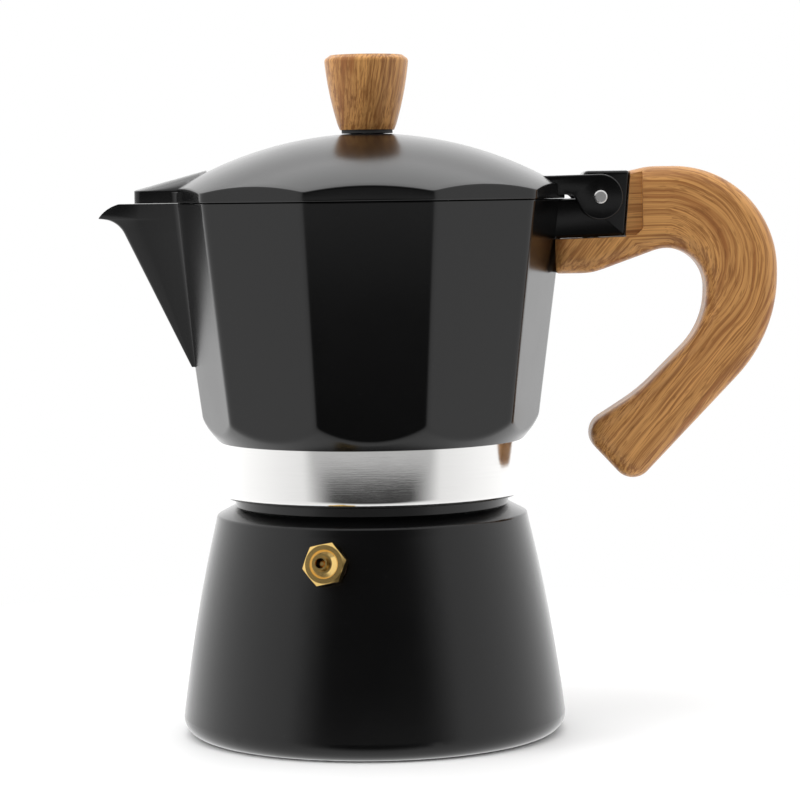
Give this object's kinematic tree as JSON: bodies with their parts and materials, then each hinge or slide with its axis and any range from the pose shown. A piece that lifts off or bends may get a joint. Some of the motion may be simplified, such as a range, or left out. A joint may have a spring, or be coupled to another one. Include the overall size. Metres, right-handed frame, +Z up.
{
  "type": "moka pot",
  "caption": "Stove-top moka pot: black boiler with safety valve, faceted collector with spout, hinged lid with round knob, and wood-finish C-shaped handle.",
  "frame": {"origin": "centre of the boiler's flat foot", "axes": "+Z up, +X towards the handle, -X towards the spout, the safety valve on the -Y side"},
  "size_m": [0.1595, 0.0906, 0.16],
  "materials": {
    "black_paint": "satin",
    "bare_aluminium": "polished",
    "brass": "turned",
    "steel": "zinc plated",
    "rubber": "matte",
    "fibre": "matte",
    "black_plastic": "matte",
    "wood_finish": "satin lacquer"
  },
  "bodies": {
    "boiler": {"boiler": "black_paint", "valve_body": "brass", "valve_washer": "fibre", "valve_seat": "brass", "valve_spring": "steel"},
    "valve_plunger": {"valve_plunger": "brass"},
    "funnel": {"funnel": "bare_aluminium", "funnel_screen": "bare_aluminium"},
    "seal": {"gasket": "rubber", "filter_plate": "bare_aluminium"},
    "collector": {"collector": "black_paint", "handle": "wood_finish", "handle_screw": "steel", "handle_washer": "steel", "hinge_pin": "bare_aluminium"},
    "lid": {"lid": "black_paint", "knob": "wood_finish", "knob_spacer": "black_plastic", "knob_insert": "brass", "knob_washer": "steel", "knob_screw": "steel"}
  },
  "joints": [
    {"name": "collector_rise", "type": "slide", "parent": "boiler", "child": "seal", "axis": [0, 0, 1], "range_m": [0, 0.00827]},
    {"name": "collector_turn", "type": "hinge", "parent": "seal", "child": "collector", "pos_m": [0, 0, 0.06], "axis": [0, 0, 1], "range_deg": [0, 990]},
    {"name": "lid_hinge", "type": "hinge", "parent": "collector", "child": "lid", "pos_m": [0.0542, 0, 0.1259], "axis": [0, 1, 0], "range_deg": [0, 95]},
    {"name": "funnel_lift", "type": "slide", "parent": "boiler", "child": "funnel", "axis": [0, 0, 1], "range_m": [0, 0.00415]},
    {"name": "valve_slide", "type": "slide", "parent": "boiler", "child": "valve_plunger", "axis": [-0.262, -0.9446, 0.1977], "range_m": [0, 0.0012], "stiffness_N_per_m": 900, "springref_m": -0.002, "deforming": ["valve_spring"]}
  ],
  "couplings": [
    {"joint": "collector_rise", "follows": "collector_turn", "m_per_rad": 0.00047746},
    {"joint": "funnel_lift", "follows": "collector_turn", "m_per_rad": 0.00023873}
  ]
}
